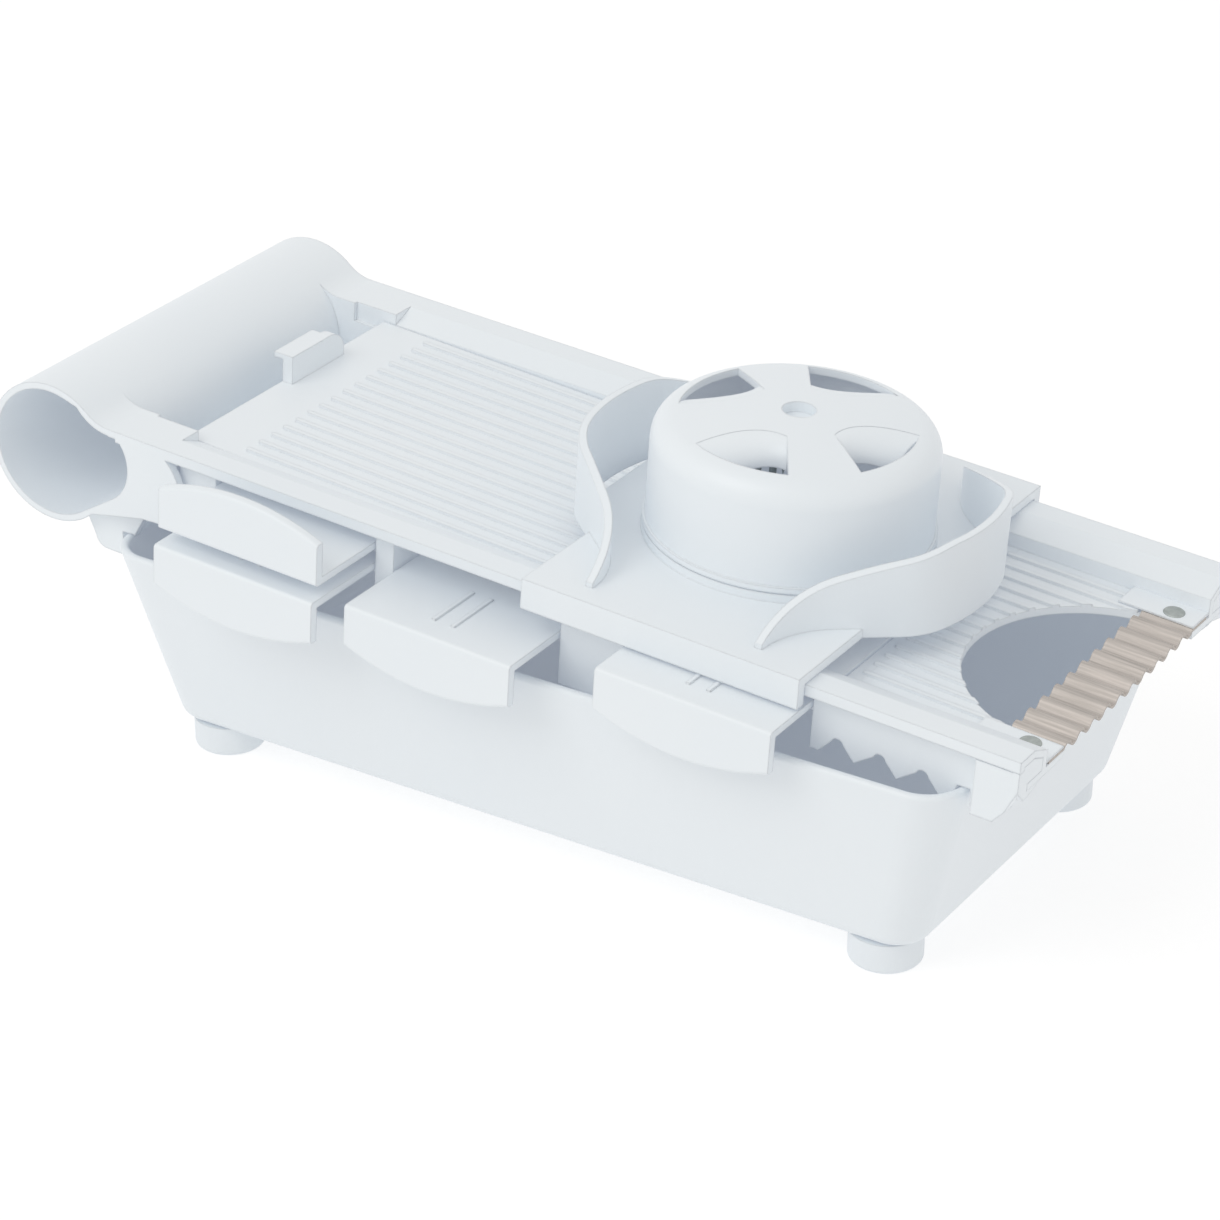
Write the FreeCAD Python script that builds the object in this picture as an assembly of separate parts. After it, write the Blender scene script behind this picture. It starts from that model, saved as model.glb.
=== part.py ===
"""Mandoline slicer on a catch tub, with a sliding food guard and four blade inserts.

Millimetres, +Z up, origin on the table at the middle of the four feet.  The
slicing board leans down towards its blade end, so its pieces are drawn in the
board's own frame (x along the rails, z square to them, rail tops at z = 0) and
then set down on the tub by one placement.
"""
import FreeCAD, Part
import math
import os

from FreeCAD import Vector

# Catch tub
tub_rim_length = 265.0
tub_rim_width = 138.0
tub_base_length = 237.0
tub_base_width = 118.0
tub_depth = 53.5
tub_wall = 2.6
tub_floor = 3.0
rim_corner_radius = 13.0
base_corner_radius = 10.0
base_edge_radius = 5.0
rim_edge_radius = 1.1

# Tub feet
foot_diameter = 20.0
foot_height = 9.0
foot_spacing_x = 212.0
foot_spacing_y = 97.0
foot_spigot_diameter = 8.0
foot_spigot_height = 1.5
foot_edge_radius = 1.6

# How the board sits on the tub
board_tilt = 3.86
board_datum_x = -9.4
board_rise = 24.9
rim_side_clearance = 0.5
seat_clearance = 0.3

# Rails and side skirts
rail_half_width = 62.0
rail_top_width = 7.5
rail_lip_height = 3.2
rail_lip_thickness = 2.2
rail_thickness = 2.2
channel_inset = 14.9
channel_margin_drop = 3.2
skirt_inset = 4.0
skirt_thickness = 2.5
skirt_depth = 29.0
toothed_skirt_depth = 20.0
tooth_pitch = 12.2
tooth_height = 5.2
tooth_count = 3
end_leg_length = 15.0
end_leg_depth = 19.5
end_leg_taper = 3.0
cross_wall_depth = 18.0
cross_wall_thickness = 3.8

# Ribbed floor that falls gently towards the blades
floor_start_z = -3.2
floor_fall_angle = 1.1
floor_thickness = 1.6
rib_side_margin = 4.725
rib_count = 16
rib_width = 1.6
rib_height = 0.7
rib_margin = 17.0
landing_thickness = 2.2

# Tube handle and finger pocket
handle_radius = 20.7
handle_drop = 13.6
handle_offset = 22.8
handle_wall = 2.0
handle_blend_radius = 12.0
keyhole_lobe_radius = 12.5
keyhole_lobe_reach = 14.5
keyhole_lobe_lift = 2.6
handle_box_depth = 23.0
handle_box_length = 21.7
end_wall_thickness = 2.4
pocket_depth = 21.0
pocket_inset = 1.1
pocket_overhang = 3.2
handle_window = 4.5
hook_leg_depth = 7.0
hook_leg_width = 9.0

# Runway plate with finger tab
runway_edge = 13.2
runway_gap = 0.6
ramp_angle = 9.0
ramp_length = 7.0
ramp_width = 6.0
ramp_drop = 0.8
ramp_travel = 5.0
tab_thickness = 3.4
tab_width = 25.0
tab_height = 8.4
tab_side = 9.5
tab_lip = 3.0
tab_round = 7.0

# Throat and crinkle blade
throat_depth = 29.0
throat_inset = 10.1
blade_length = 15.0
blade_thickness = 0.8
wave_count = 10
wave_height = 2.2
blade_ear = 8.5
rivet_diameter = 3.0
rivet_head_diameter = 6.0
rivet_head_height = 0.9

# Blade inserts and the slots that hold them
insert_length = 52.0
insert_side_clearance = 0.6
insert_plate = 2.2
insert_tail_inset = 8.0
panel_thickness = 2.6
panel_height = 12.3
panel_bulge = 5.0
panel_clearance = 6.5
panel_edge_radius = 1.0
grip_rib_height = 0.5
grip_rib_width = 1.2
grip_rib_gap = 6.0
storage_pitch = 59.0
first_storage_x = -63.0
working_slot_x = 71.5
working_plate_top = -6.6
upper_plate_top = -7.4
lower_plate_top = -13.6
runner_width = 2.2
runner_thickness = 1.6
runner_gap = 0.3
julienne_drawn = 6.0
coarse_drawn = 8.0
fine_drawn = 3.0
slicing_drawn = 0.0

# Steel of the inserts
steel_thickness = 0.8
steel_seat_depth = 0.5
bevel_width = 3.0
steel_inset = 7.1
steel_border = 5.0
slicing_blade_width = 20.0
slicing_gap = 9.0
comb_pitch = 5.0
comb_tooth_width = 0.8
comb_tooth_height = 1.6
comb_tooth_length = 4.0
grater_width = 36.0
coarse_hole = 5.0
coarse_pitch = 9.0
fine_hole = 2.6
fine_pitch = 6.0
pin_diameter = 2.4
pin_head_height = 0.5
pin_clearance = 0.05

# Food guard
sled_x = 56.0
sled_length = 83.0
sled_plate = 2.7
sled_gap = 0.3
sled_lip_thickness = 3.2
sled_lip_depth = 5.7
sled_side_gap = 0.4
shield_radius = 55.0
shield_thickness = 2.4
shield_height = 20.5
sled_corner_radius = 16.0
shield_leave_angle = 39.0
shield_run = 22.0
shield_bend_radius = 12.0
shield_front_inset = 5.0
shield_fall_start = 34.0

# Pusher cap
cap_radius = 38.5
cap_height = 33.5
cap_wall = 2.2
cap_shoulder_radius = 9.0
cap_seat_gap = 0.3
collar_height = 2.4
collar_width = 4.2
cap_hole_diameter = 9.0
window_inner_radius = 17.0
window_outer_radius = 34.5
window_start_angle = 17.0
window_inner_angle = 21.0
window_end_angle = 62.0
window_bow = 5.0
window_axis_angle = -45.0
core_radius = 13.0
core_wall = 1.6
core_depth = 22.0
cap_flange = 0.8
cap_flange_height = 1.6
grip_pin_radii = (18.5, 28.0)
grip_pin_diameter = 2.0
grip_pin_length = 22.0
grip_pin_tip = 4.0
pin_boss_diameter = 5.0
pin_boss_height = 4.0
pin_seat_depth = 3.0

# Sizes that follow from the ones above
rim_z = foot_height + tub_depth
board_datum_z = rim_z + board_rise
tilt = math.radians(board_tilt)
end_play = 5.0
overshoot = 40.0


def board_x(world_x, world_z):
    """Board x of a point given in the tub's frame."""
    dx = world_x - board_datum_x
    dz = world_z - board_datum_z
    return dx * math.cos(tilt) - dz * math.sin(tilt)


def board_z(world_x, world_z):
    """Board z of a point given in the tub's frame."""
    dx = world_x - board_datum_x
    dz = world_z - board_datum_z
    return dx * math.sin(tilt) + dz * math.cos(tilt)


left_rim_x = board_x(-tub_rim_length / 2, rim_z)
left_rim_z = board_z(-tub_rim_length / 2, rim_z)
right_rim_x = board_x(tub_rim_length / 2, rim_z)
channel_half_width = rail_half_width - channel_inset
skirt_half_width = rail_half_width - skirt_inset
throat_half_width = channel_half_width - throat_inset
pocket_half_width = channel_half_width - pocket_inset
steel_half_width = channel_half_width - steel_inset
steel_window_half_width = steel_half_width - steel_border
insert_tail = skirt_half_width - insert_tail_inset
rib_pitch = 2 * (channel_half_width - rib_side_margin) / (rib_count - 1)
handle_x = left_rim_x - handle_offset
handle_z = -handle_drop
box_right_x = left_rim_x + handle_box_length
runway_left_x = left_rim_x + runway_edge
board_right_x = right_rim_x + end_leg_length
blade_left_x = board_right_x - blade_length
throat_left_x = blade_left_x - throat_depth
cap_bottom = sled_gap + sled_plate + collar_height + cap_seat_gap
cap_top = cap_bottom + cap_height
bay_length = insert_length + 2 * insert_side_clearance
second_storage_x = first_storage_x + storage_pitch
chute_radius = cap_radius - collar_width + cap_flange


def floor_z(x):
    """Height of the ribbed floor at x along the board."""
    return floor_start_z - (x - runway_left_x) * math.tan(math.radians(floor_fall_angle))


# Shape helpers


def spot(plane, a, b):
    """A point from two coordinates in the named plane."""
    return {"xy": Vector(a, b, 0), "xz": Vector(a, 0, b), "yz": Vector(0, a, b)}[plane]


def outline(plane, steps):
    """Closed wire through points; a pair of points is an arc through the first to the second."""
    here = steps[0]
    edges = []
    for step in list(steps[1:]) + [steps[0]]:
        if isinstance(step[0], tuple):
            through, end = step
            arc = Part.Arc(spot(plane, *here), spot(plane, *through), spot(plane, *end))
            edges.append(arc.toShape())
            here = end
        elif step != here:
            edges.append(Part.makeLine(spot(plane, *here), spot(plane, *step)))
            here = step
    return Part.Wire(edges)


def prism(plane, steps, start, end):
    """Solid with the given outline, between two heights across its plane."""
    across = {"xy": Vector(0, 0, 1), "xz": Vector(0, 1, 0), "yz": Vector(1, 0, 0)}[plane]
    face = Part.Face(outline(plane, steps))
    face.translate(across * start)
    return face.extrude(across * (end - start))


def block(x0, x1, y0, y1, z0, z1):
    """Box between two corners."""
    return Part.makeBox(x1 - x0, y1 - y0, z1 - z0, Vector(x0, y0, z0))


def disc(radius, z0, z1, x=0.0, y=0.0):
    """Upright cylinder between two heights."""
    return Part.makeCylinder(radius, z1 - z0, Vector(x, y, z0))


def bar_y(radius, y0, y1, x, z):
    """Cylinder lying along y."""
    return Part.makeCylinder(radius, y1 - y0, Vector(x, y0, z), Vector(0, 1, 0))


def rounded_rectangle(length, width, radius, z):
    """Closed wire of a rectangle with round corners, centred on the z axis."""
    a, b = length / 2, width / 2
    k = radius * (1 - math.sqrt(0.5))
    wire = outline("xy", [
        (-a + radius, -b), (a - radius, -b), ((a - k, -b + k), (a, -b + radius)),
        (a, b - radius), ((a - k, b - k), (a - radius, b)),
        (-a + radius, b), ((-a + k, b - k), (-a, b - radius)),
        (-a, -b + radius), ((-a + k, -b + k), (-a + radius, -b)),
    ])
    wire.translate(Vector(0, 0, z))
    return wire


def union(shapes):
    """One solid from several that overlap or touch."""
    return shapes[0].multiFuse(shapes[1:]).removeSplitter()


def round_edges(shape, radius, chosen):
    """Fillet the edges for which chosen(edge) is true."""
    return shape.makeFillet(radius, [e for e in shape.Edges if chosen(e)])


def on_board(shape):
    """Set a piece drawn in the board's frame down on the tub."""
    placed = shape.copy()
    placed.rotate(Vector(0, 0, 0), Vector(0, 1, 0), board_tilt)
    placed.translate(Vector(board_datum_x, 0, board_datum_z))
    return placed


def mirrored_y(shape):
    """The same shape on the other side of the board."""
    return shape.mirror(Vector(0, 0, 0), Vector(0, 1, 0))


def both_sides(shape):
    """A shape and its mirror image across the board."""
    return [shape, mirrored_y(shape)]


# Tub and feet


def foot_places():
    """Centres of the four feet."""
    return [(sx * foot_spacing_x / 2, sy * foot_spacing_y / 2) for sx in (-1, 1) for sy in (-1, 1)]


def make_tub():
    """Tapered tub with round corners, soft rim and blind sockets for the feet."""
    outer = Part.makeLoft([
        rounded_rectangle(tub_base_length, tub_base_width, base_corner_radius, foot_height),
        rounded_rectangle(tub_rim_length, tub_rim_width, rim_corner_radius, rim_z),
    ], True, True)
    outer = round_edges(outer, base_edge_radius, lambda e: e.BoundBox.ZMax < foot_height + 0.01)
    share = tub_floor / tub_depth
    low_length = tub_base_length + (tub_rim_length - tub_base_length) * share - 2 * tub_wall
    low_width = tub_base_width + (tub_rim_width - tub_base_width) * share - 2 * tub_wall
    low_radius = base_corner_radius + (rim_corner_radius - base_corner_radius) * share - tub_wall
    inner = Part.makeLoft([
        rounded_rectangle(low_length, low_width, low_radius, foot_height + tub_floor),
        rounded_rectangle(
            tub_rim_length - 2 * tub_wall, tub_rim_width - 2 * tub_wall, rim_corner_radius - tub_wall, rim_z
        ),
    ], True, True)
    inner = round_edges(
        inner, base_edge_radius - tub_wall, lambda e: e.BoundBox.ZMax < foot_height + tub_floor + 0.01
    )
    tub = outer.cut(inner)
    tub = round_edges(tub, rim_edge_radius, lambda e: e.BoundBox.ZMin > rim_z - 0.01)
    socket_top = foot_height + foot_spigot_height + seat_clearance
    for x, y in foot_places():
        socket_radius = foot_spigot_diameter / 2 + pin_clearance
        tub = tub.cut(disc(socket_radius, foot_height - end_play, socket_top, x, y))
    return tub


def make_feet():
    """Four round feet with a soft lower edge and a spigot that plugs into the tub."""
    feet = []
    for x, y in foot_places():
        body = disc(foot_diameter / 2, 0, foot_height, x, y)
        body = round_edges(body, foot_edge_radius, lambda e: e.BoundBox.ZMax < 0.01)
        spigot = disc(foot_spigot_diameter / 2, foot_height, foot_height + foot_spigot_height, x, y)
        feet.append(union([body, spigot]))
    return Part.makeCompound(feet)


# Board


def rim_space():
    """Room round the tub's wall, straight outside so that the board's hooks lift off."""
    grow = 2 * rim_side_clearance
    low = rim_z - tub_depth
    top = rim_z + seat_clearance
    spread_x = (tub_rim_length - tub_base_length) / tub_depth * seat_clearance
    spread_y = (tub_rim_width - tub_base_width) / tub_depth * seat_clearance
    outer = Part.Face(rounded_rectangle(
        tub_rim_length + spread_x + grow, tub_rim_width + spread_y + grow, rim_corner_radius, low
    )).extrude(Vector(0, 0, top - low))
    shrink = 2 * tub_wall + grow
    inner = Part.makeLoft([
        rounded_rectangle(
            tub_base_length - shrink, tub_base_width - shrink, base_corner_radius - tub_wall, low
        ),
        rounded_rectangle(
            tub_rim_length + spread_x - shrink, tub_rim_width + spread_y - shrink,
            rim_corner_radius - tub_wall, top,
        ),
    ], True, True)
    return outer.cut(inner)


def rail():
    """One side rail: flat top, outer lip, and a slope down to the channel."""
    inner_top = rail_half_width - rail_top_width
    lip_inner = rail_half_width - rail_lip_thickness
    return prism("yz", [
        (rail_half_width, 0.0),
        (rail_half_width, -rail_lip_height),
        (lip_inner, -rail_lip_height),
        (lip_inner, -rail_thickness),
        (inner_top, -rail_thickness),
        (channel_half_width, -channel_margin_drop - rail_thickness),
        (channel_half_width, -channel_margin_drop),
        (inner_top, 0.0),
    ], left_rim_x, board_right_x)


def tooth_steps():
    """Wavy lower edge of a skirt, as outline steps from the rim notch towards the inserts."""
    low = -toothed_skirt_depth
    shoulder = low + tooth_height * 0.75
    steps = []
    x = right_rim_x - tooth_pitch * 0.65
    for index in range(tooth_count):
        steps.append((x, low))
        steps.append((x - tooth_pitch * 0.28, shoulder))
        steps.append(((x - tooth_pitch * 0.42, low + tooth_height), (x - tooth_pitch * 0.56, shoulder)))
        x -= tooth_pitch
    steps.append((x + tooth_pitch * 0.16, low))
    return steps


def skirt():
    """One side wall under a rail, with wavy teeth and a hook leg at the blade end."""
    toothed_from = working_slot_x + bay_length / 2
    top = -0.5 * rail_thickness
    left = box_right_x - skirt_thickness
    steps = [
        (left, top),
        (board_right_x, top),
        (board_right_x - end_leg_taper, 0.8 * -end_leg_depth),
        (board_right_x - 2 * end_leg_taper, -end_leg_depth),
        (right_rim_x - tooth_pitch * 0.3, -end_leg_depth),
    ]
    steps += tooth_steps()
    steps += [
        (toothed_from, -toothed_skirt_depth),
        (toothed_from, -skirt_depth),
        (left, -skirt_depth),
    ]
    return prism("xz", steps, skirt_half_width - skirt_thickness, skirt_half_width)


def tangent_hull(plane_y, first, first_radius, second, second_radius):
    """Two cylinders along y and the straight web that is tangent to both."""
    dx, dz = second[0] - first[0], second[1] - first[1]
    heading = math.atan2(dz, dx)
    spread = math.acos((first_radius - second_radius) / math.hypot(dx, dz))
    corners = []
    for centre, radius, turn in (
        (first, first_radius, -spread), (second, second_radius, -spread),
        (second, second_radius, spread), (first, first_radius, spread),
    ):
        angle = heading + turn
        corners.append((centre[0] + radius * math.cos(angle), centre[1] + radius * math.sin(angle)))
    return union([
        bar_y(first_radius, -plane_y, plane_y, *first),
        bar_y(second_radius, -plane_y, plane_y, *second),
        prism("xz", corners, -plane_y, plane_y),
    ])


def handle_blend():
    """Centre of the round valley between the tube handle and the rails, and its two tangent points."""
    reach = handle_radius + handle_blend_radius
    rise = handle_drop + handle_blend_radius
    x = handle_x + math.sqrt(reach ** 2 - rise ** 2)
    share = handle_radius / reach
    on_tube = (handle_x + (x - handle_x) * share, handle_z + rise * share)
    return (x, handle_blend_radius), on_tube, (x, 0.0)


def handle_body():
    """Outer form of the handle end: tube, valley, and the box that joins it to the rails."""
    centre, on_tube, on_rail = handle_blend()
    to_tube = math.atan2(on_tube[1] - centre[1], on_tube[0] - centre[0])
    middle = 0.5 * (to_tube % (2 * math.pi) + 1.5 * math.pi)
    valley = (
        centre[0] + handle_blend_radius * math.cos(middle),
        centre[1] + handle_blend_radius * math.sin(middle),
    )
    window_top = (box_right_x - handle_window, -rail_lip_height)
    window_low = (box_right_x, -rail_lip_height - 1.5 * handle_window)
    web = prism("xz", [
        (handle_x, handle_z),
        on_tube,
        (valley, on_rail),
        (box_right_x - handle_window, 0.0),
        window_top,
        ((box_right_x - 0.35 * handle_window, 0.5 * (window_top[1] + window_low[1])), window_low),
        (box_right_x, -handle_box_depth),
        (left_rim_x + hook_leg_width, -handle_box_depth - 1.0),
        (handle_x + 0.55 * handle_radius, handle_z - 0.75 * handle_radius),
    ], -rail_half_width, rail_half_width)
    return union([bar_y(handle_radius, -rail_half_width, rail_half_width, handle_x, handle_z), web])


def keyhole_space():
    """The open keyhole-shaped hollow that runs through the handle end."""
    reach = rail_half_width + overshoot
    hollow = tangent_hull(
        reach,
        (handle_x, handle_z), handle_radius - handle_wall,
        (handle_x + keyhole_lobe_reach, handle_z + keyhole_lobe_lift), keyhole_lobe_radius,
    )
    centre, on_tube, on_rail = handle_blend()
    under_valley = bar_y(handle_blend_radius + handle_wall, -reach, reach, *centre)
    under_rail = block(centre[0], box_right_x, -reach, reach, -rail_thickness, overshoot)
    return hollow.cut(under_valley).cut(under_rail)


def pocket_space(grow):
    """Finger pocket between handle and runway, grown all round for its outer wall."""
    half = pocket_half_width + grow
    pocket = block(
        handle_x, runway_left_x + pocket_overhang + grow, -half, half, -pocket_depth - grow, overshoot
    )
    tube = bar_y(handle_radius - grow, -half - end_play, half + end_play, handle_x, handle_z)
    return pocket.cut(tube)


def hook_steps():
    """Outline of the leg that hangs outside the tub's handle-end rim."""
    low = left_rim_z - hook_leg_depth
    outer = left_rim_x - hook_leg_width
    return [
        (handle_x + 0.40 * handle_radius, handle_z - 0.7 * handle_radius),
        (outer - 1.0, low + 0.45 * hook_leg_depth),
        ((outer + 0.6, low + 0.10 * hook_leg_depth), (outer + 0.35 * hook_leg_width, low)),
    ]


def hook_ends():
    """Plates at both ends of the hook leg, notched by the rim."""
    low = left_rim_z - hook_leg_depth
    plate = prism("xz", hook_steps() + [
        (left_rim_x, low),
        (left_rim_x + hook_leg_width, -handle_box_depth + 1.0),
        (handle_x + 0.6 * handle_radius, handle_z - 0.6 * handle_radius),
    ], skirt_half_width - skirt_thickness, skirt_half_width)
    return both_sides(plate)


def hook_wall():
    """Cross wall between the two end plates of the hook leg."""
    low = left_rim_z - hook_leg_depth
    outer = left_rim_x - hook_leg_width
    return prism("xz", hook_steps() + [
        (outer + 0.35 * hook_leg_width + skirt_thickness, low + 0.3 * hook_leg_depth),
        (handle_x + 0.40 * handle_radius + skirt_thickness, handle_z - 0.7 * handle_radius),
    ], -skirt_half_width, skirt_half_width)


def handle_end():
    """Handle end of the board, hollow behind its side walls, with pocket and hooks."""
    inside = rail_half_width - end_wall_thickness
    lobe_right = handle_x + keyhole_lobe_reach + keyhole_lobe_radius
    behind_wall = block(
        lobe_right + handle_wall, box_right_x + end_play, -inside, inside,
        -handle_box_depth - overshoot, -channel_margin_drop - rail_thickness,
    )
    body = union([handle_body(), hook_wall()] + hook_ends())
    hollow = keyhole_space().cut(pocket_space(handle_wall))
    behind_wall = behind_wall.cut(pocket_space(handle_wall))
    hook_room = block(
        lobe_right + handle_wall, box_right_x, -skirt_half_width, skirt_half_width,
        left_rim_z - overshoot, -handle_box_depth,
    )
    body = body.cut(hollow).cut(behind_wall.cut(hook_room)).cut(pocket_space(0.0))
    return body


def cross_wall(x0, x1, top):
    """Wall across the board between two insert slots."""
    half = skirt_half_width - 0.5 * skirt_thickness
    return block(x0, x1, -half, half, -cross_wall_depth, top)


def slot_edges(centre):
    """Both x limits of an insert slot."""
    return centre - bay_length / 2, centre + bay_length / 2


def runners(centre, plate_top, half_from, half_to):
    """Two ledges under the long edges of an insert plate."""
    left, right = slot_edges(centre)
    top = plate_top - insert_plate - runner_gap
    return [
        block(left - 0.5, left + runner_width, half_from, half_to, top - runner_thickness, top),
        block(right - runner_width, right + 0.5, half_from, half_to, top - runner_thickness, top),
    ]


def landing():
    """Ribbed floor between the working slot and the throat, with the D-shaped opening cut out."""
    left = slot_edges(working_slot_x)[1]
    floor = prism("xz", [
        (left, floor_z(left)), (board_right_x, floor_z(board_right_x)),
        (board_right_x, floor_z(board_right_x) - landing_thickness),
        (left, floor_z(left) - landing_thickness),
    ], -skirt_half_width + 1, skirt_half_width - 1)
    ribs = floor_ribs(left + 2.5, throat_left_x + 2 * throat_half_width)
    side = block(
        left, board_right_x, channel_half_width, channel_half_width + rail_thickness,
        floor_z(board_right_x) - landing_thickness, -channel_margin_drop - 0.5,
    )
    low = floor_z(board_right_x) - overshoot
    throat = prism("xy", [
        (blade_left_x, -throat_half_width),
        ((throat_left_x, 0.0), (blade_left_x, throat_half_width)),
        (board_right_x + end_play, throat_half_width),
        (board_right_x + end_play, -throat_half_width),
    ], low, overshoot)
    keep = prism("xy", [
        (left, -channel_half_width), (blade_left_x - 1.0, -channel_half_width),
        (blade_left_x - 1.0, channel_half_width), (left, channel_half_width),
    ], low, overshoot)
    return union([floor] + both_sides(side) + [ribs.common(keep)]).cut(throat)


def floor_ribs(x0, x1):
    """Fine round-ended ribs along the floor between two places."""
    ribs = []
    half = rib_width / 2
    for index in range(rib_count):
        y = (index - (rib_count - 1) / 2) * rib_pitch
        slim = prism("xy", [
            (x0 + half, y - half), (x1 - half, y - half), ((x1, y), (x1 - half, y + half)),
            (x0 + half, y + half), ((x0, y), (x0 + half, y - half)),
        ], 0, overshoot)
        ribs.append(slim)
    under = prism("xz", [
        (x0 - 1, floor_z(x0 - 1) - 0.5), (x1 + 1, floor_z(x1 + 1) - 0.5),
        (x1 + 1, floor_z(x1 + 1) + rib_height), (x0 - 1, floor_z(x0 - 1) + rib_height),
    ], -rail_half_width, rail_half_width)
    combed = Part.makeCompound(ribs)
    combed.translate(Vector(0, 0, -0.5 * overshoot))
    return combed.common(under)


def runway_lift(x):
    """Height of the sloping face between a runway foot and its ramp, at the ramp's middle."""
    return floor_z(x) - floor_thickness - ramp_drop


def ramp_bed(x):
    """Height of the board's bed under a ramp, clear of the foot when the plate is drawn back."""
    rise = math.tan(math.radians(ramp_angle))
    return runway_lift(x) - (ramp_length / 2 + ramp_travel) * rise - runner_gap


def ramp_places():
    """Middles of the two ramp rows along the board."""
    rear = slot_edges(first_storage_x)[0] - ramp_length / 2 - runner_gap
    front = slot_edges(working_slot_x)[0] - ramp_length - runway_gap
    return rear, front


def ramp_ys():
    """Ramps lie near both edges of the runway plate."""
    y = channel_half_width - ramp_width
    return -y, y


def ramp_beds():
    """Cross slabs under the two ramp rows, each with two ramps on it."""
    rear, front = ramp_places()
    half = skirt_half_width - 0.5 * skirt_thickness
    spans = (
        (rear, box_right_x - 1.0, slot_edges(first_storage_x)[0]),
        (front, slot_edges(second_storage_x)[1], slot_edges(working_slot_x)[0]),
    )
    pieces = []
    for x, x0, x1 in spans:
        bed = ramp_bed(x)
        pieces.append(block(x0, x1, -half, half, bed - landing_thickness, bed))
        for y in ramp_ys():
            pieces.append(ramp_pad(x, y, runway_lift(x) - runner_gap, bed - 0.5))
    return pieces


def ramp_pad(x, y, surface, base):
    """Wedge between a level base and a face that rises towards the blades."""
    rise = 0.5 * ramp_length * math.tan(math.radians(ramp_angle))
    half = ramp_length / 2
    return prism("xz", [
        (x - half, surface - rise), (x + half, surface + rise), (x + half, base), (x - half, base),
    ], y - ramp_width / 2, y + ramp_width / 2)


def runway_room():
    """Space the runway plate moves in."""
    rise = math.tan(math.radians(ramp_angle)) * ramp_travel + runner_gap
    left = runway_left_x - ramp_travel - end_play
    right = slot_edges(working_slot_x)[0]
    return prism("xz", [
        (left, floor_z(left) - floor_thickness - rise),
        (right, floor_z(right) - floor_thickness - rise),
        (right, overshoot),
        (left, overshoot),
    ], -channel_half_width, channel_half_width)


def make_board():
    """The slicing board: handle, rails, skirts, cross walls, insert runners and landing."""
    first = slot_edges(first_storage_x)
    second = slot_edges(second_storage_x)
    working = slot_edges(working_slot_x)
    under_runway = floor_z(second[0]) - floor_thickness - ramp_travel * math.tan(math.radians(ramp_angle))
    inside = skirt_half_width - skirt_thickness
    pieces = [handle_end(), landing()]
    pieces += both_sides(rail()) + both_sides(skirt())
    pieces += [
        cross_wall(first[0] - cross_wall_thickness, first[0], ramp_bed(ramp_places()[0])),
        cross_wall(first[1], second[0], under_runway - runner_gap),
        cross_wall(second[1], second[1] + cross_wall_thickness, ramp_bed(ramp_places()[1])),
        cross_wall(working[0] - cross_wall_thickness, working[0], ramp_bed(ramp_places()[1])),
        cross_wall(working[1], working[1] + cross_wall_thickness, floor_z(working[1])),
    ]
    pieces += ramp_beds()
    for centre, top in (
        (first_storage_x, upper_plate_top),
        (first_storage_x, lower_plate_top),
        (second_storage_x, lower_plate_top),
        (working_slot_x, working_plate_top),
    ):
        pieces += runners(centre, top, -inside, inside)
    board = union(pieces).cut(runway_room())
    for centre in (first_storage_x, second_storage_x, working_slot_x):
        left, right = slot_edges(centre)
        board = board.cut(block(
            left, right, -rail_half_width - overshoot, -inside, -skirt_depth - overshoot, -rail_lip_height
        ))
    for y in (-rivet_y(), rivet_y()):
        hole = disc(rivet_diameter / 2 + pin_clearance, -end_play, end_play)
        board = board.cut(on_floor(hole, rivet_x(), y))
    return on_board(board).cut(rim_space())


# Runway plate


def on_floor(shape, x, y=0.0):
    """Lay a piece on the sloping floor, its own origin at x, y."""
    placed = shape.copy()
    placed.rotate(Vector(0, 0, 0), Vector(0, 1, 0), floor_fall_angle)
    placed.translate(Vector(x, y, floor_z(x)))
    return placed


def finger_tab():
    """Upright tab at the handle end of the runway, with a lip to hook a finger under."""
    x0 = runway_left_x
    x1 = x0 + tab_thickness
    y0 = tab_side - tab_width / 2
    y1 = tab_side + tab_width / 2
    z0 = floor_start_z - 0.5 * floor_thickness
    z1 = floor_start_z + tab_height
    k = tab_round * (1 - math.sqrt(0.5))
    post = prism("yz", [
        (y0, z0), (y1, z0), (y1, z1 - tab_round), ((y1 - k, z1 - k), (y1 - tab_round, z1)), (y0, z1),
    ], x0, x1)
    lip = block(x0 - tab_lip, x0 + 0.5, y0, y1 - tab_round, z1 - floor_thickness, z1)
    return [post, lip]


def make_runway_plate():
    """Ribbed plate that food slides on, with ramp feet below and the finger tab."""
    right = slot_edges(working_slot_x)[0] - runway_gap
    half = channel_half_width - 0.6 * runway_gap
    plate = prism("xz", [
        (runway_left_x, floor_z(runway_left_x)), (right, floor_z(right)),
        (right, floor_z(right) - floor_thickness), (runway_left_x, floor_z(runway_left_x) - floor_thickness),
    ], -half, half)
    ribs = floor_ribs(runway_left_x + rib_margin, right - 2.0)
    feet = []
    for x in ramp_places():
        for y in ramp_ys():
            feet.append(ramp_pad(x, y, runway_lift(x), floor_z(x) - 0.5 * floor_thickness))
    return on_board(union([plate] + ribs.Solids + finger_tab() + feet))


# Crinkle blade


def rivet_x():
    """Board x of the crinkle blade's rivets."""
    return blade_left_x + 0.5 * blade_length


def rivet_y():
    """Distance of the crinkle blade's rivets from the middle."""
    return throat_half_width + 0.5 * blade_ear


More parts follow.
